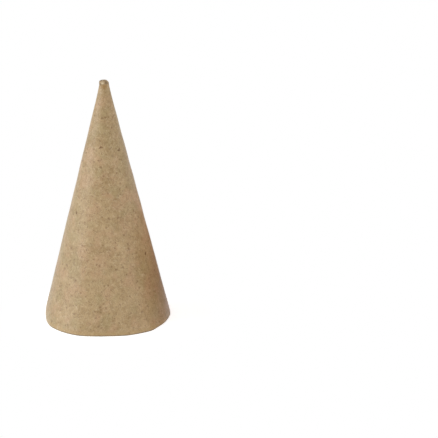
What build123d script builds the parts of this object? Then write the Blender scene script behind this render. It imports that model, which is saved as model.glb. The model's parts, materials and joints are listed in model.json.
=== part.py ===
from build123d import *

import os
from math import atan, cos

# Paper cone: a sheet of kraft board wound into a cone and glued, with a blunt nose and an open mouth.
# It is one piece. Millimetres. The origin is the middle of the rim that it stands on, +Z runs up the axis
# to the nose, and the front is -Y. A bearing is in degrees from +X towards +Y, and the sheet winds outwards
# that way.

# Overall sizes
mouth_diameter = 70.0
cone_height = 133.5

# Board
board = 1.3  # wall, square to its face
inner_step = 0.5  # how far the sheet's inner edge stands into the hollow
outer_step = 0.2  # how far the sheet's outer edge, pressed down in the glue, stands out of the wall
inner_edge_bearing = 112.0
outer_edge_bearing = 152.0

# Rim
rim_round = 0.35  # softened edges of the cut, inside and outside

# Nose, where the board can't be wound any tighter
nose_diameter = 5.1  # where the straight wall ends
nose_length = 2.9
nose_draft = 0.2  # how far the nose narrows up to its top, on the radius
nose_round = 1.0
pinhole_diameter = 1.2  # what the winding leaves open in the middle of the nose

# Cutters
overrun = 1.0  # how far a cutter stands out of what it cuts

# Worked out from the sizes above
mouth_radius = mouth_diameter / 2
nose_radius = nose_diameter / 2
nose_top_radius = nose_radius - nose_draft
pinhole_radius = pinhole_diameter / 2
neck_height = cone_height - nose_length
wall_slope = (mouth_radius - nose_radius) / neck_height
board_across = board / cos(atan(wall_slope))  # wall, measured level
hollow_radius = mouth_radius - board_across
hollow_top_radius = pinhole_radius + inner_step
hollow_height = (hollow_radius - hollow_top_radius) / wall_slope
half_turn = 180.0


def outside_section(wider):
    """Half section of the outside, as radius and height: a soft rim, a straight wall and a rounded nose."""
    rim_corner = (mouth_radius + wider, 0)
    nose_corner = (nose_top_radius + wider, cone_height)
    neck = (nose_radius + wider, neck_height)
    section = make_face(Polyline((0, 0), rim_corner, neck, nose_corner, (0, cone_height), close=True))
    section = fillet(section.vertices().sort_by_distance(rim_corner)[0], rim_round)
    return fillet(section.vertices().sort_by_distance(nose_corner)[0], nose_round)


def hollow_section(wider):
    """Half section of the hollow, as radius and height. A flange below it rounds the rim's inner edge."""
    rim_corner = (hollow_radius + wider, 0)
    top_corner = (hollow_top_radius + wider, hollow_height)
    flange_radius = mouth_radius + overrun
    section = make_face(
        Polyline(
            (0, -overrun),
            (flange_radius, -overrun),
            (flange_radius, 0),
            rim_corner,
            top_corner,
            (0, hollow_height),
            close=True,
        )
    )
    return fillet(section.vertices().sort_by_distance(rim_corner)[0], rim_round)


def wound(section, step, edge_bearing):
    """One turn of a wound surface: two half turns about two centres, so that it steps only at the edge."""
    off_centre = step / 4
    first_half = revolve(Plane.XZ * section(-off_centre), Axis.Z, half_turn)
    last_half = Rot(Z=half_turn) * revolve(Plane.XZ * section(off_centre), Axis.Z, half_turn)
    turn = Pos(X=-off_centre) * first_half + Pos(X=off_centre) * last_half
    return Rot(Z=edge_bearing) * turn


def pinhole():
    """The hole up the middle of the nose, from inside the hollow to above the top."""
    foot = hollow_height - overrun
    length = cone_height + overrun - foot
    return Pos(Z=foot) * Cylinder(pinhole_radius, length, align=(Align.CENTER, Align.CENTER, Align.MIN))


def paper_cone():
    outside = wound(outside_section, outer_step, outer_edge_bearing)
    hollow = wound(hollow_section, inner_step, inner_edge_bearing)
    return outside - hollow - pinhole()


os.makedirs("parts", exist_ok=True)
export_step(paper_cone(), "parts/paper_cone.step")
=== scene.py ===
import json
from math import atan, cos, hypot, pi, radians, sin, tau

import bpy
import numpy as np
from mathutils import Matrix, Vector


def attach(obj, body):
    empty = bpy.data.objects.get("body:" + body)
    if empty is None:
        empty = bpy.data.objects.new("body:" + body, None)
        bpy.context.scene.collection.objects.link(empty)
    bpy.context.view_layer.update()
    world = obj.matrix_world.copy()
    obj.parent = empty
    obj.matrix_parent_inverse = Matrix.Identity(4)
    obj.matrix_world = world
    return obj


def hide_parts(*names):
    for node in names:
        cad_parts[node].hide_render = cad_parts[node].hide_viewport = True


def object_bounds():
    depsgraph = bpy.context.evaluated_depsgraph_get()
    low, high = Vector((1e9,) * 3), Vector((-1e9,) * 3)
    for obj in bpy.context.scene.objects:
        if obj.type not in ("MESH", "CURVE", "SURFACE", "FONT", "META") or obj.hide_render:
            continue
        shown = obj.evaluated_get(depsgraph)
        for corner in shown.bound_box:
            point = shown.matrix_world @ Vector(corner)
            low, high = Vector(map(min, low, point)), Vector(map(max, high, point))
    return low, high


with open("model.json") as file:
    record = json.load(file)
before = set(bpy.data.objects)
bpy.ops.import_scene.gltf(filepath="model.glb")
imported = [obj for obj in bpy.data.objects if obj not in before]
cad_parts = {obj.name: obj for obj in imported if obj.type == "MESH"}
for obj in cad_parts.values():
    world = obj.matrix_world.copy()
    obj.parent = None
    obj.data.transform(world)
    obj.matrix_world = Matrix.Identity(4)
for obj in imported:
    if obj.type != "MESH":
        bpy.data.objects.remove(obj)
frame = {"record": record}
cad_low, cad_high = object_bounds()
cone_node = frame["record"]["subparts"][0]["node"]

# Sizes of the cone, in metres. Bearings are from +X towards +Y, and -Y is the front.
cone_height = cad_high.z - cad_low.z
mouth_radius = 0.0350
board_thickness = 0.0013
inner_step = 0.0005
outer_step = 0.0002
inner_edge_bearing = radians(112)
outer_edge_bearing = radians(152)
rim_round = 0.00035
nose_radius = 0.00255
nose_length = 0.0029
nose_draft = 0.0002
nose_round = 0.0010
pinhole_radius = 0.0006

neck_height = cone_height - nose_length
wall_slope = (mouth_radius - nose_radius) / neck_height
wall_tilt = atan(wall_slope)
wall_stretch = hypot(1, wall_slope)
apex_height = mouth_radius / wall_slope
hollow_radius = mouth_radius - board_thickness * wall_stretch
hollow_top_radius = pinhole_radius + inner_step
hollow_height = (hollow_radius - hollow_top_radius) / wall_slope
nose_top_radius = nose_radius - nose_draft
draft_slope = nose_draft / nose_length
draft_stretch = hypot(1, draft_slope)

# How handling has pushed the mouth out of round
mouth_presses = (  # bearing and half width in degrees, and the share of the radius pushed out
    (-140, 24, 0.018),
    (-114, 16, 0.032),
    (-88, 22, -0.021),
    (-70, 12, 0.010),
    (-52, 20, 0.012),
    (-22, 24, -0.026),
    (12, 20, 0.012),
    (58, 34, -0.018),
    (112, 24, 0.016),
    (148, 20, -0.012),
    (178, 18, 0.008),
)
press_fade = 1.4
rim_presses = (  # bearing and half width in degrees, and how far the cut edge alone is pushed out
    (-175, 18, -0.0011),
    (-141, 14, 0.00025),
    (-44, 9, 0.0007),
    (-25, 14, 0.0003),
)
rim_press_reach = 0.007

# Slow waves in the face of the board
wave_height = 0.00007
wave_lengths = (0.009, 0.022)
wave_count = 28
wave_seed = 11
wave_fade_share = 0.17

# Rim: how unevenly it was cut, and the band that is tucked in above it
rim_lift = 0.00022
rim_lift_reach = 0.009
rim_lift_middle_share = 0.5
rim_lift_waves = ((2, 2.3, 0.30), (5, -1.0, 0.15))  # count round the rim, start and share of the lift
rim_band_height = 0.0028
rim_band_tuck = 0.00014

# Edges of the sheet: how they wander, and how soft they are
edge_drift = 0.0005
edge_drift_lengths = (0.12, 0.27)
edge_drift_reach = radians(14)
edge_soft = 0.00009

# Nose: its soft neck and lean, the end of the sheet tucked in, and the wound turns seen from above
neck_fill = 0.00019
neck_fill_reach = 0.0042
nose_lean = 0.00010
nose_lean_start = 0.045
tucks = (  # bearing and half width in degrees, how far out, and the shares of the nose it rises over
    (-158, 34, 0.00026, 0.2, 0.7),
    (-112, 22, 0.00020, 0.2, 0.7),
    (-62, 17, -0.00055, 0.2, 0.7),
    (8, 42, -0.00080, 0.60, 1.0),
)
turn_pitch = 0.00062
turn_groove = 0.00016
turn_groove_share = 0.16
turn_fade_shares = (0.25, 0.50)  # of the nose's round, down from the top

# Mesh of the board
even_columns = 296
edge_column_gaps = (0.00005, 0.0001, 0.0002, 0.0004)
edge_column_room = 0.00048
hollow_rows = 76
rim_foot_rows = 3
rim_band_rows = 14
wall_rows = 120
nose_rows = 12
round_rows = 6
nose_round_rows = 10
nose_top_rows = 18
pinhole_rows = 6

# Camera, from the photograph's view
camera_place = Vector((0.06166, -1.1520, 0.4130))
camera_pitch = radians(17.23)
camera_lens = 181.7
camera_sensor = 36.0
camera_near = 0.05


def screen_colour(red, green, blue):
    """A colour given as screen values from 0 to 255, as the light that a shader wants."""
    levels = [value / 255 for value in (red, green, blue)]
    light = [x / 12.92 if x <= 0.04045 else ((x + 0.055) / 1.055) ** 2.4 for x in levels]
    return (*light, 1.0)


# Shape of the board

def away_from(bearing, centre):
    """Angle from a centre bearing, between half a turn back and half a turn on."""
    return (bearing - centre + pi) % tau - pi


def hump(bearing, centre, width):
    """A smooth hump of height 1 round the cone."""
    return np.exp(-((away_from(bearing, centre) / width) ** 2))


def humps(bearing, table):
    """Several humps, from rows of bearing, half width and height."""
    return sum(height * hump(bearing, radians(centre), radians(width)) for centre, width, height in table)


def wound(bearing, step, edge_bearing):
    """How far a wound surface stands out: it grows round the cone and drops back at the sheet's edge."""
    away = away_from(bearing, edge_bearing)
    soft = edge_soft / mouth_radius
    growth = step * (away % tau / tau - 0.5)
    drop = -step / 2 * np.sin(pi / 2 * np.clip(away / soft, -1, 1))
    return np.where(abs(away) < soft, drop, growth)


def board_waves(x, y, z):
    """Slow waves in the face of the board, as a height in metres."""
    draw = np.random.default_rng(wave_seed)
    total = np.zeros_like(x)
    for _ in range(wave_count):
        direction = draw.normal(size=3)
        direction *= tau / draw.uniform(*wave_lengths) / np.linalg.norm(direction)
        total += np.cos(direction[0] * x + direction[1] * y + direction[2] * z + draw.uniform(0, tau))
    return wave_height * total / wave_count ** 0.5


def arc(centre, radius, start, stop, count):
    """Points on an arc of the half section, as radius and height."""
    angles = np.linspace(start, stop, count)
    return np.stack([centre[0] + radius * np.cos(angles), centre[1] + radius * np.sin(angles)], 1)


def run(start, stop, count):
    """Points on a straight stretch of the half section, both ends left out."""
    shares = np.linspace(0, 1, count + 2)[1:-1, None]
    return np.array(start) * (1 - shares) + np.array(stop) * shares


def board_section():
    """The half section as a ring of points: down the hollow, round the rim, up the wall, over the nose.

    Gives each point's radius and height, and its share of the outside: 0 in the hollow and 1 on the wall."""
    inner_round = (hollow_radius + rim_round * (wall_stretch - wall_slope), rim_round)
    outer_round = (mouth_radius - rim_round * (wall_stretch + wall_slope), rim_round)
    nose_corner = (nose_top_radius + nose_round * (draft_slope - draft_stretch), cone_height - nose_round)
    hollow_top = (hollow_top_radius, hollow_height)
    pinhole_top = (pinhole_radius, cone_height)
    pinhole_foot = (pinhole_radius, hollow_height)
    band_top = (mouth_radius - wall_slope * rim_band_height, rim_band_height)
    neck = (nose_radius, neck_height)
    rim_in = arc(inner_round, rim_round, pi + wall_tilt, 1.5 * pi, round_rows)
    rim_out = arc(outer_round, rim_round, -pi / 2, wall_tilt, round_rows)
    nose_edge = arc(nose_corner, nose_round, atan(draft_slope), pi / 2, nose_round_rows)
    stretches = (
        (run(hollow_top, rim_in[0], hollow_rows), 0, 0),
        (rim_in, 0, 0),
        (run(rim_in[-1], rim_out[0], rim_foot_rows), 0, 1),
        (rim_out, 1, 1),
        (run(rim_out[-1], band_top, rim_band_rows), 1, 1),
        (run(band_top, neck, wall_rows), 1, 1),
        (run(neck, nose_edge[0], nose_rows), 1, 1),
        (nose_edge, 1, 1),
        (run(nose_edge[-1], pinhole_top, nose_top_rows), 1, 0),
        (run(pinhole_top, pinhole_foot, pinhole_rows), 0, 0),
        (np.array([pinhole_foot, hollow_top]), 0, 0),
    )
    points = np.concatenate([points for points, _, _ in stretches])
    outside = np.concatenate([np.linspace(first, last, len(points)) for points, first, last in stretches])
    return points[:, :1], points[:, 1:], outside[:, None]


def column_bearings():
    """Bearings of the mesh's columns: even round the cone, and close together at both edges of the sheet."""
    even = np.arange(even_columns) / even_columns * tau
    near = []
    for edge in (inner_edge_bearing, outer_edge_bearing):
        even = even[abs(away_from(even, edge)) > edge_column_room / mouth_radius]
        near += [edge + side * gap / mouth_radius for gap in edge_column_gaps for side in (-1, 1)]
    return np.sort(np.concatenate([even, near]))[None, :]


def edge_sway(height):
    """How far round the sheet's edges wander at a height."""
    long_wave, short_wave = (np.sin(tau * height / length + 1) for length in edge_drift_lengths)
    return edge_drift / mouth_radius * long_wave * short_wave


def drifted(column, height):
    """Bearings of the columns at each height: near the sheet's edges they wander with the edge."""
    pull = sum(hump(column, edge, edge_drift_reach) for edge in (inner_edge_bearing, outer_edge_bearing))
    return column + edge_sway(height) * pull


def wall_reach(radius, height, outside, column, bearing):
    """How far from the axis each point of the board stands. The steps fade out on the nose's round."""
    steps = outside * wound(column, outer_step, outer_edge_bearing)
    steps = steps + (1 - outside) * wound(column, inner_step, inner_edge_bearing)
    steps = steps * np.clip((cone_height - height) / nose_round, 0, 1)
    reach = (radius + steps) * (1 + humps(bearing, mouth_presses) * (1 - height / cone_height) ** press_fade)
    wall = mouth_radius - wall_slope * height
    waves = board_waves(wall * np.cos(bearing), wall * np.sin(bearing), height)
    reach = reach + waves * np.clip((neck_height - height) / neck_height / wave_fade_share, 0, 1)
    reach = reach - rim_band_tuck * np.clip(1 - height / rim_band_height, 0, 1) ** 2
    reach = reach + humps(bearing, rim_presses) * np.clip(1 - height / rim_press_reach, 0, 1) ** 2
    reach = reach + neck_fill * outside * np.exp(-(((height - neck_height) / neck_fill_reach) ** 2))
    up_nose = (height - neck_height) / nose_length
    for centre, width, out, first, last in tucks:
        risen = np.clip((up_nose - first) / (last - first), 0, 1) * outside
        reach = reach + out * risen * hump(bearing, radians(centre), radians(width)) * radius / nose_radius
    return reach


def turn_grooves(reach, height, bearing):
    """Depth of the grooves between the wound turns, which show only on top of the nose."""
    turn = (reach / turn_pitch - bearing / tau) % 1
    first, last = turn_fade_shares
    on_top = np.clip((last - (cone_height - height) / nose_round) / (last - first), 0, 1)
    on_top = on_top * np.clip((reach - pinhole_radius) / turn_groove, 0, 1)
    return turn_groove * on_top * np.exp(-(((turn - 0.5) / turn_groove_share) ** 2))


def board_points():
    """Every point of the board's mesh as x, y and z grids, one row for each point of the section."""
    radius, height, outside = board_section()
    column = column_bearings()
    bearing = drifted(column, height)
    reach = wall_reach(radius, height, outside, column, bearing)
    lift = sum(share * np.sin(count * bearing + start) for count, start, share in rim_lift_waves)
    lift = rim_lift * (rim_lift_middle_share + lift) * np.clip(1 - height / rim_lift_reach, 0, 1) ** 2
    z = height + lift - turn_grooves(reach, height, bearing)
    lean = nose_lean * np.clip((height - cone_height + nose_lean_start) / nose_lean_start, 0, 1) ** 2
    return reach * np.cos(bearing) + lean, reach * np.sin(bearing), z


def paper_cone():
    """The wound board as one closed mesh, standing where the solid stands."""
    x, y, z = board_points()
    rows, columns = x.shape
    index = np.arange(rows * columns).reshape(rows, columns)
    along = np.roll(index, -1, 0)
    faces = np.stack([index, np.roll(index, -1, 1), np.roll(along, -1, 1), along], 2).reshape(-1, 4)
    mesh = bpy.data.meshes.new("wound_board")
    mesh.from_pydata(np.stack([x, y, z], 2).reshape(-1, 3).tolist(), [], faces.tolist())
    mesh.shade_smooth()
    mesh.update()
    piece = bpy.data.objects.new("wound_board", mesh)
    bpy.context.scene.collection.objects.link(piece)
    return piece


# Nodes of the finishes

class Shade:
    """A socket in a material's nodes. Sums of shades add Math nodes, and node() adds any other kind."""

    def __init__(self, tree, socket=None):
        self.tree = tree
        self.socket = socket

    def node(self, kind, settings=None, inputs=None, output=0):
        """Adds a node: its settings first, then the value or link of each socket. Gives one output."""
        made = self.tree.nodes.new(kind)
        for name, value in (settings or {}).items():
            setattr(made, name, value)
        for name, value in (inputs or {}).items():
            if isinstance(value, Shade):
                self.tree.links.new(value.socket, made.inputs[name])
            else:
                made.inputs[name].default_value = value
        return Shade(self.tree, made.outputs[output])

    def feed(self, socket):
        """Links this shade to a socket of a shader."""
        self.tree.links.new(self.socket, socket)

    def maths(self, operation, *values):
        """Adds a Math node."""
        return self.node("ShaderNodeMath", {"operation": operation}, dict(enumerate(values)))

    def __add__(self, other):
        return self.maths("ADD", self, other)

    def __sub__(self, other):
        return self.maths("SUBTRACT", self, other)

    def __rsub__(self, other):
        return self.maths("SUBTRACT", other, self)

    def __mul__(self, other):
        return self.maths("MULTIPLY", self, other)

    __radd__ = __add__
    __rmul__ = __mul__


def ease(value, low, high):
    """0 where a value is below low, 1 where it is above high, with a soft step between."""
    limits = {"Value": value, "From Min": low, "From Max": high}
    return value.node("ShaderNodeMapRange", {"interpolation_type": "SMOOTHSTEP"}, limits)


def dyed(mask, off, on):
    """One colour where a mask is 0 and another where it is 1."""
    return mask.node("ShaderNodeMix", {"data_type": "RGBA"}, {0: mask, 6: off, 7: on}, 2)


def parts_of(vector):
    """The x, y and z of a vector."""
    return [vector.node("ShaderNodeSeparateXYZ", None, {0: vector}, axis) for axis in "XYZ"]


def reach_of(x, y):
    """Distance from the upright axis."""
    return x.maths("SQRT", x * x + y * y)


# Kraft board: what its pulp, fibres and flecks look like, with sizes in metres
noise_middle = 0.5
pulp_size = 0.013
pulp_place = (0, 0, 6.37)
pulp_weight = 0.75
mottle_size = 0.0026
mottle_weight = 1.10
grain_size = 0.0008
grain_roughness = 0.6
grain_weight = 0.36
# painted light: the board's tone lighter towards the foot and darker towards the nose
painted_foot_light = 0.18
painted_foot_light_middle_share = 0.45
rose_size = 0.0085
rose_levels = (0.46, 0.66)
rose_share = 0.55
olive_size = 0.0095
olive_levels = (0.48, 0.68)
olive_share = 0.45
hollow_share = 0.45
fibre_width = 0.0004
fibre_soft = 0.10
pale_fibre_length = 0.0024
pale_fibre_turns = (8, 66, -48)
pale_fibre_level = 0.62
pale_fibre_share = 0.22
dark_fibre_length = 0.0020
dark_fibre_turns = (-12, 40, -74)
dark_fibre_level = 0.63
dark_fibre_share = 0.26
tear_size = 0.0011
tear_reach = 0.0018
fine_flecks = (0.0030, 0.0007, 0.26)  # spacing and radius in metres, and the share of places with a fleck
broad_flecks = (0.0090, 0.0011, 0.30)
broad_fleck_weight = 1.1
fleck_core_share = 0.3
fleck_lot_soft = 0.02
fleck_share = 0.46
mark_core_share = 0.35

# Kraft board at the sheet's edges, the rim and the nose
edge_fray = 0.0008
edge_shade_reach = (0.0003, 0.0012)
edge_shade_share = 0.45
edge_pale_reach = (0.0002, 0.0007)
edge_pale_share = 0.40
rim_fray = 0.0030
rim_band_fade = (0.5 * rim_band_height, 1.1 * rim_band_height)
rim_warm_share = 0.30
rim_flecks = (0.0030, 0.0008, 0.30)
rim_fleck_heights = (0.0005, 0.0014)
rim_fleck_share = 0.55
# painted contact shadow: the outside of the rim darker just above the floor
rim_contact_shade_heights = (0.6 * rim_round, 2.6 * rim_round)
rim_contact_shade_share = 0.85
cut_heights = (3 * rim_round, 4 * rim_round)
cut_facings = (-0.85, -0.45)
cut_share = 0.9
ply_length = 0.0030
ply_depth = 0.00024
ply_levels = (0.36, 0.60)
# painted shade in the grooves between the wound turns on top of the nose
groove_shade_heights = (cone_height - 0.5 * nose_round, cone_height - 0.2 * nose_round)
groove_shade_share = 0.7

# Kraft board: gloss and relief of its face
face_roughness = 0.43
face_roughness_sway = 0.3
face_specular = 0.5
face_sheen = 0.10
face_sheen_roughness = 0.4
relief_depth = 0.00012
relief_strength = 0.5
grain_relief = 0.8
mottle_relief = 0.4
fibre_relief = 0.25
fleck_relief = 0.4
bark_relief = 0.6

kraft_dark = screen_colour(143, 115, 70)
kraft_pale = screen_colour(191, 164, 123)
kraft_rose = screen_colour(184, 149, 113)
kraft_olive = screen_colour(163, 144, 100)
fibre_pale = screen_colour(212, 191, 157)
# dark fibres, and the colour of the painted shade line past the sheet's edges
dark_fibre_and_shade = screen_colour(112, 83, 44)
bark_brown = screen_colour(100, 64, 10)
rim_warm = screen_colour(192, 162, 110)
# colour of the painted contact shadow at the rim's foot
rim_contact_shade = screen_colour(98, 84, 66)
cut_pale = screen_colour(212, 191, 152)
cut_dark = screen_colour(170, 144, 104)
hollow_brown = screen_colour(124, 78, 42)
# pale flecks above the rim, and the colour of the painted highlight on the nose
pale_fleck_and_highlight = screen_colour(226, 208, 174)
# colour of the painted shade on the nose
nose_shade = screen_colour(104, 80, 50)
tuck_stain = screen_colour(148, 110, 54)

bark_marks = (  # bearing in degrees, height and radius in metres, and strength
    (-100.0, 0.0990, 0.0010, 0.9),
    (-45.9, 0.0967, 0.0010, 0.9),
    (-70.9, 0.0984, 0.0009, 0.5),
    (-28.9, 0.0398, 0.0012, 0.9),
    (-95.4, 0.0374, 0.0010, 0.4),
    (-75.2, 0.0350, 0.0011, 0.5),
    (-44.9, 0.1141, 0.0008, 0.5),
    (-89.9, 0.1251, 0.0008, 0.3),
)
nose_marks = (  # bearing, height and radius, strength, colour, and whether its outline is ragged
    (-86, 0.1308, 0.0021, 0.60, tuck_stain, True),
    # painted shadow in the fold under the tucked end
    (-138, 0.1318, 0.0012, 0.70, nose_shade, False),
    # a stain in the pit, darkened further as painted shade
    (-54, 0.1326, 0.0013, 0.75, nose_shade, True),
    # painted shade on top of the nose at the left
    (180, 0.1331, 0.0015, 0.85, nose_shade, False),
    # painted highlight on the tucked end, partly its paler torn edge
    (-104, 0.1325, 0.0011, 0.90, pale_fleck_and_highlight, False),
)


# Drawing on the flat sheet

def sheet_edge_bearing(z, outside):
    """Bearing of the sheet's edge at a height, in the hollow or outside. It wanders as the mesh does."""
    long_wave, short_wave = (z.maths("SINE", z * (tau / length) + 1) for length in edge_drift_lengths)
    edge = inner_edge_bearing + (outer_edge_bearing - inner_edge_bearing) * outside
    return edge + edge_drift / mouth_radius * long_wave * short_wave


def flat_sheet(start):
    """Where each point lay on the flat sheet before it was wound, with its depth in the board as z.

    Gives that place, how far on from the sheet's edge and back from it the point lies, and 1 outside."""
    x, y, z = parts_of(start.node("ShaderNodeTexCoord", output="Object"))
    facing_x, facing_y, _ = parts_of(start.node("ShaderNodeTexCoord", output="Normal"))
    outside = start.maths("GREATER_THAN", x * facing_x + y * facing_y, 0.0)
    bearing = start.maths("ARCTAN2", y, x)
    turned = start.maths("WRAP", bearing - sheet_edge_bearing(z, outside), tau, 0.0)
    reach = reach_of(x, y)
    angle = sin(wall_tilt) * (turned - pi)
    slant = wall_stretch * (apex_height - z)
    along = slant * start.maths("COSINE", angle)
    across = slant * start.maths("SINE", angle)
    sheet = start.node("ShaderNodeCombineXYZ", None, {0: along, 1: across, 2: reach + wall_slope * z})
    return sheet, turned * reach, (tau - turned) * reach, outside


def sheet_point(bearing, height):
    """The place on the flat sheet of a point on the outside of the wall."""
    angle = sin(wall_tilt) * ((bearing - outer_edge_bearing - edge_sway(height)) % tau - pi)
    slant = wall_stretch * (apex_height - height)
    return (slant * cos(angle), slant * sin(angle), mouth_radius)


def clouds(sheet, size, detail=2.0, roughness=0.5):
    """Noise with features of a size in metres, about 0.5 on average."""
    looks = {"Vector": sheet, "Scale": 1 / size, "Detail": detail, "Roughness": roughness}
    return sheet.node("ShaderNodeTexNoise", {"noise_dimensions": "3D"}, looks)


def fibres(sheet, turns, length, level):
    """Short fibres of pulp that lie several ways on the sheet. A higher level leaves fewer."""
    found = []
    for turn in turns:
        size = (length, fibre_width, fibre_width)
        lie = {"Vector": sheet, "Rotation": (0, 0, radians(turn)), "Scale": size}
        laid = sheet.node("ShaderNodeMapping", {"vector_type": "TEXTURE"}, lie)
        found.append(ease(clouds(laid, 1.0, 0.0), level, level + fibre_soft))
    return sum(found)


def specks(sheet, spacing, size, chance):
    """Small flecks, one in some of the cells of a loose grid."""
    cell = {"Vector": sheet, "Scale": 1 / spacing}
    nearest = sheet.node("ShaderNodeTexVoronoi", {"voronoi_dimensions": "2D"}, cell, "Distance")
    lot = sheet.node("ShaderNodeTexVoronoi", {"voronoi_dimensions": "2D"}, cell, "Color")
    lot = lot.node("ShaderNodeSeparateColor", None, {0: lot})
    fleck = 1 - ease(nearest, fleck_core_share * size / spacing, size / spacing)
    return fleck * ease(lot, 1 - chance, 1 + fleck_lot_soft - chance)


def torn(sheet):
    """Places on the sheet moved a little to and fro, so that what is drawn there has ragged outlines."""
    looks = {"Vector": sheet, "Scale": 1 / tear_size, "Detail": 1.0}
    sway = sheet.node("ShaderNodeTexNoise", {"noise_dimensions": "3D"}, looks, "Color")
    middle = (noise_middle, noise_middle, noise_middle)
    sway = sheet.node("ShaderNodeVectorMath", {"operation": "SUBTRACT"}, {0: sway, 1: middle})
    moves = {0: sway, 1: (tear_reach, tear_reach, tear_reach), 2: sheet}
    return sheet.node("ShaderNodeVectorMath", {"operation": "MULTIPLY_ADD"}, moves)


def mark(sheet, bearing, height, size):
    """One fleck, stain, painted shade or painted highlight at a place that the photograph shows."""
    ends = {0: sheet, 1: sheet_point(radians(bearing), height)}
    away = sheet.node("ShaderNodeVectorMath", {"operation": "DISTANCE"}, ends, "Value")
    return 1 - ease(away, mark_core_share * size, size)


def cut_face(start, height):
    """1 on the cut face of the rim, which looks at the floor, and 0 on the wall and in the hollow."""
    facing = parts_of(start.node("ShaderNodeTexCoord", output="Normal"))[2]
    return (1 - ease(facing, *cut_facings)) * (1 - ease(height, *cut_heights))


def plies(sheet):
    """The layers of pulp that a cut through the board shows."""
    lie = {"Vector": sheet, "Scale": (ply_length, ply_length, ply_depth)}
    laid = sheet.node("ShaderNodeMapping", {"vector_type": "TEXTURE"}, lie)
    return ease(clouds(laid, 1.0, 1.0), *ply_levels)


def groove_shade(start):
    """Painted shade in the gap between one turn of the sheet and the next, where the nose shows its end."""
    x, y, z = parts_of(start.node("ShaderNodeTexCoord", output="Object"))
    x = x - nose_lean
    turns_out = reach_of(x, y) * (1 / turn_pitch)
    turn = start.maths("FRACT", turns_out - start.maths("ARCTAN2", y, x) * (1 / tau) + 1)
    gap = 1 - ease(start.maths("ABSOLUTE", turn - 0.5), 0.0, turn_groove_share)
    return gap * ease(z, *groove_shade_heights)


# Kraft board

def edge_colour(colour, past_edge, before_edge, mottle):
    """Adds the painted shade and glue line past the sheet's edge, and the pale fibres just before it."""
    fray = edge_fray * (mottle - noise_middle)
    colour = dyed(edge_shade_share * (1 - ease(past_edge + fray, *edge_shade_reach)), colour, dark_fibre_and_shade)
    return dyed(edge_pale_share * (1 - ease(before_edge + fray, *edge_pale_reach)), colour, fibre_pale)


def rim_colour(colour, sheet, ragged, height, mottle, outside):
    """Adds the warm band above the rim, its pale flecks, a painted contact shadow along the floor and the
    cut face.
    """
    band = 1 - ease(height + rim_fray * (mottle - noise_middle), *rim_band_fade)
    flecks = specks(ragged, *rim_flecks) * band * ease(height, *rim_fleck_heights)
    # painted contact shadow where the rim stands on the floor
    contact_shaded = outside * (1 - ease(height, *rim_contact_shade_heights))
    colour = dyed(rim_warm_share * band, colour, rim_warm)
    colour = dyed(rim_fleck_share * flecks, colour, pale_fleck_and_highlight)
    colour = dyed(rim_contact_shade_share * contact_shaded, colour, rim_contact_shade)
    return dyed(cut_share * cut_face(sheet, height), colour, dyed(plies(sheet), cut_dark, cut_pale))


def nose_colour(colour, sheet, ragged):
    """Adds the marks round the nose, among them painted shade and a painted highlight, and the painted shade
    in the gaps of the wound end on top.
    """
    for bearing, height, size, strength, tint, is_ragged in nose_marks:
        drawn = mark(ragged if is_ragged else sheet, bearing, height, size)
        colour = dyed(strength * drawn, colour, tint)
    return dyed(groove_shade_share * groove_shade(sheet), colour, nose_shade)


def kraft_board():
    """Brown kraft board: cloudy pulp, short fibres, flecks of bark, a scuffed rim, a satin face, and painted
    light and shade.
    """
    material = bpy.data.materials.new("kraft_board")
    material.use_nodes = True
    tree = material.node_tree
    shader = tree.nodes["Principled BSDF"]
    sheet, past_edge, before_edge, outside = flat_sheet(Shade(tree))
    height = parts_of(sheet.node("ShaderNodeTexCoord", output="Object"))[2]
    ragged = torn(sheet)

    moved = sheet.node("ShaderNodeVectorMath", {"operation": "ADD"}, {0: sheet, 1: pulp_place})
    pulp = clouds(moved, pulp_size) - noise_middle
    mottle = clouds(sheet, mottle_size)
    grain = clouds(sheet, grain_size, roughness=grain_roughness)
    tone = noise_middle + pulp_weight * pulp + mottle_weight * (mottle - noise_middle)
    tone = tone + grain_weight * (grain - noise_middle)
    # painted light, lighter towards the foot
    tone = tone + painted_foot_light * (painted_foot_light_middle_share - height * (1 / cone_height))
    rose = ease(clouds(sheet, rose_size, 1.0), *rose_levels)
    olive = ease(clouds(sheet, olive_size, 1.0), *olive_levels)
    pale = fibres(sheet, pale_fibre_turns, pale_fibre_length, pale_fibre_level)
    dark = fibres(sheet, dark_fibre_turns, dark_fibre_length, dark_fibre_level)
    flecks = specks(ragged, *fine_flecks) + broad_fleck_weight * specks(ragged, *broad_flecks)
    bark = sum(strength * mark(ragged, *place) for *place, strength in bark_marks)

    colour = dyed(tone, kraft_dark, kraft_pale)
    colour = dyed(rose_share * rose, colour, kraft_rose)
    colour = dyed(olive_share * olive, colour, kraft_olive)
    colour = dyed(hollow_share * (1 - outside), colour, hollow_brown)
    colour = dyed(pale_fibre_share * pale, colour, fibre_pale)
    colour = dyed(dark_fibre_share * dark, colour, dark_fibre_and_shade)
    colour = dyed(fleck_share * flecks, colour, bark_brown)
    colour = dyed(bark, colour, bark_brown)
    colour = edge_colour(colour, past_edge, before_edge, mottle)
    colour = rim_colour(colour, sheet, ragged, height, mottle, outside)
    nose_colour(colour, sheet, ragged).feed(shader.inputs["Base Color"])

    roughness = face_roughness + face_roughness_sway * (grain - noise_middle)
    roughness.feed(shader.inputs["Roughness"])
    relief = grain_relief * grain + mottle_relief * mottle + fibre_relief * (pale - dark)
    relief = relief - fleck_relief * flecks - bark_relief * bark
    bumps = {"Strength": relief_strength, "Distance": relief_depth, "Height": relief}
    relief.node("ShaderNodeBump", None, bumps).feed(shader.inputs["Normal"])
    shader.inputs["Specular IOR Level"].default_value = face_specular
    shader.inputs["Sheen Weight"].default_value = face_sheen
    shader.inputs["Sheen Roughness"].default_value = face_sheen_roughness
    return material


# Studio, in metres and watts

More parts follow.
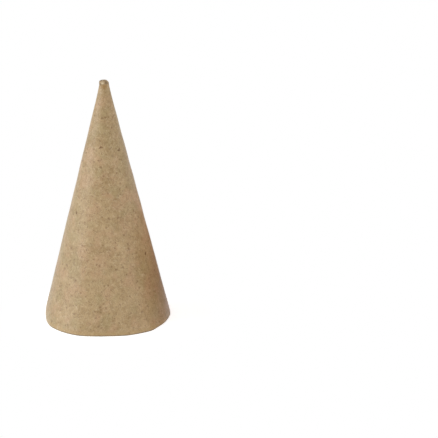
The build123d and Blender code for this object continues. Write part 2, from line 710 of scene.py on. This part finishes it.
floor_reach = 4.0
floor_sides = 128
floor_pale = (0.86, 0.86, 0.86, 1.0)
floor_glow = 0.60
floor_shadow_fade = (0.042, 0.060)
# painted shade: the floor inside the hollow as seen through the pinhole
painted_hollow_shade = screen_colour(40, 30, 20)
white = (1.0, 1.0, 1.0, 1.0)
ambient = 0.765
lamp_aim = Vector((0, 0, cone_height / 2))
key_place = Vector((-1.2, -0.30, 0.55))
key_size = 1.0
key_power = 8.6
key_tint = (0.95, 0.97, 1.0)
fill_place = Vector((1.25, -0.45, 0.60))
fill_size = 0.9
fill_power = 2.72
fill_tint = (1.0, 0.89, 0.75)
card_side = 0.069
card_near = -0.030
card_far = 0.160
card_foot = 0.001
card_top = 0.056
card_brown = screen_colour(158, 88, 30)


def bare_material(name):
    """A material with its output alone. Gives the material, a shade to start from and the socket to feed."""
    material = bpy.data.materials.new(name)
    material.use_nodes = True
    tree = material.node_tree
    tree.nodes.remove(tree.nodes["Principled BSDF"])
    return material, Shade(tree), tree.nodes["Material Output"].inputs["Surface"]


def seen_directly(start):
    """1 for rays that show the background itself: from the camera, in a gloss or through glass."""
    kinds = ("Camera", "Glossy", "Transmission")
    camera, glossy, through = (start.node("ShaderNodeLightPath", output=f"Is {kind} Ray") for kind in kinds)
    return start.maths("MINIMUM", camera + glossy + through, 1.0)


def floor_white():
    """White to the eye, with the cone's shadow round its foot. To the light it is a plain pale floor."""
    material, start, surface = bare_material("floor_white")
    plain = start.node("ShaderNodeBsdfDiffuse", None, {"Color": floor_pale})
    glow = start.node("ShaderNodeEmission", None, {"Strength": floor_glow})
    near = start.node("ShaderNodeAddShader", None, {0: plain, 1: glow})
    far = start.node("ShaderNodeEmission", None, {"Color": white})
    x, y, _ = parts_of(start.node("ShaderNodeTexCoord", output="Object"))
    away = ease(reach_of(x, y), *floor_shadow_fade)
    bright = start.node("ShaderNodeMixShader", None, {0: away, 1: near, 2: far})
    above = start.node("ShaderNodeMixShader", None, {0: seen_directly(start), 1: plain, 2: bright})
    below = start.node("ShaderNodeBsdfTransparent")
    from_below = start.node("ShaderNodeNewGeometry", output="Backfacing")
    face = start.node("ShaderNodeMixShader", None, {0: from_below, 1: above, 2: below})
    face.feed(surface)
    return material


def floor_under_mouth():
    """Clear to light, so that the hollow is lit from below, and dark to the eye through the pinhole: painted
    shade for the floor inside the hollow.
    """
    material, start, surface = bare_material("floor_under_mouth")
    dark = start.node("ShaderNodeBsdfDiffuse", None, {"Color": painted_hollow_shade})
    clear = start.node("ShaderNodeBsdfTransparent")
    from_below = start.node("ShaderNodeNewGeometry", output="Backfacing")
    seen = start.node("ShaderNodeLightPath", output="Is Camera Ray") * (1 - from_below)
    face = start.node("ShaderNodeMixShader", None, {0: seen, 1: clear, 2: dark})
    face.feed(surface)
    return material


def studio_floor():
    """A plain white floor that keeps the cone's shadow. From below it is clear, and open inside the rim."""
    turns = np.arange(floor_sides) / floor_sides * tau
    rim_foot = mouth_radius - rim_round * (wall_stretch + wall_slope)
    reaches = np.concatenate([wall_reach(rim_foot, 0, 1, turns, turns), np.full(floor_sides, floor_reach)])
    corners = [(reach * cos(turn), reach * sin(turn), 0) for reach, turn in zip(reaches, np.tile(turns, 2))]
    following = [(index + 1) % floor_sides for index in range(floor_sides)]
    faces = [(i, floor_sides + i, floor_sides + j, j) for i, j in enumerate(following)]
    faces.append(range(floor_sides))
    mesh = bpy.data.meshes.new("studio_floor")
    mesh.from_pydata(corners, [], faces)
    mesh.materials.append(floor_white())
    mesh.materials.append(floor_under_mouth())
    mesh.polygons[-1].material_index = 1
    floor = bpy.data.objects.new("studio_floor", mesh)
    bpy.context.scene.collection.objects.link(floor)


def shade_card():
    """A brown card just off the floor beside the cone, which keeps some light off its low right side."""
    spans = ((card_near, card_foot), (card_far, card_foot), (card_far, card_top), (card_near, card_top))
    mesh = bpy.data.meshes.new("shade_card")
    mesh.from_pydata([(card_side, y, z) for y, z in spans], [], [(0, 1, 2, 3)])
    material = bpy.data.materials.new("card_brown")
    material.use_nodes = True
    shader = material.node_tree.nodes["Principled BSDF"]
    shader.inputs["Base Color"].default_value = card_brown
    shader.inputs["Roughness"].default_value = 1.0
    mesh.materials.append(material)
    card = bpy.data.objects.new("shade_card", mesh)
    card.visible_camera = False
    bpy.context.scene.collection.objects.link(card)


def studio_world():
    """Even white light from all round, with a background that shows as plain white."""
    world = bpy.data.worlds.new("studio_world")
    world.use_nodes = True
    tree = world.node_tree
    strength = ambient + (1 - ambient) * seen_directly(Shade(tree))
    strength.feed(tree.nodes["Background"].inputs["Strength"])
    tree.nodes["Background"].inputs["Color"].default_value = white
    bpy.context.scene.world = world


def soft_box(name, place, size, power, tint):
    """A large square lamp that lights the cone softly and doesn't show itself."""
    light = bpy.data.lights.new(name, "AREA")
    light.shape = "SQUARE"
    light.size = size
    light.energy = power
    light.color = tint
    lamp = bpy.data.objects.new(name, light)
    lamp.location = place
    lamp.rotation_euler = (lamp_aim - place).to_track_quat("-Z", "Y").to_euler()
    lamp.visible_camera = False
    bpy.context.scene.collection.objects.link(lamp)


def studio_camera():
    """The photograph's view: a long lens from in front, looking down a little."""
    data = bpy.data.cameras.new("studio_camera")
    data.lens = camera_lens
    data.sensor_width = camera_sensor
    data.clip_start = camera_near
    camera = bpy.data.objects.new("studio_camera", data)
    camera.location = camera_place
    camera.rotation_euler = (pi / 2 - camera_pitch, 0, 0)
    bpy.context.scene.collection.objects.link(camera)
    bpy.context.scene.camera = camera


cone = paper_cone()
cone.data.materials.append(kraft_board())
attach(cone, "root")
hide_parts(cone_node)

studio_floor()
studio_world()
soft_box("key_lamp", key_place, key_size, key_power, key_tint)
soft_box("fill_lamp", fill_place, fill_size, fill_power, fill_tint)
shade_card()
studio_camera()
bpy.context.scene.view_settings.view_transform = "Standard"
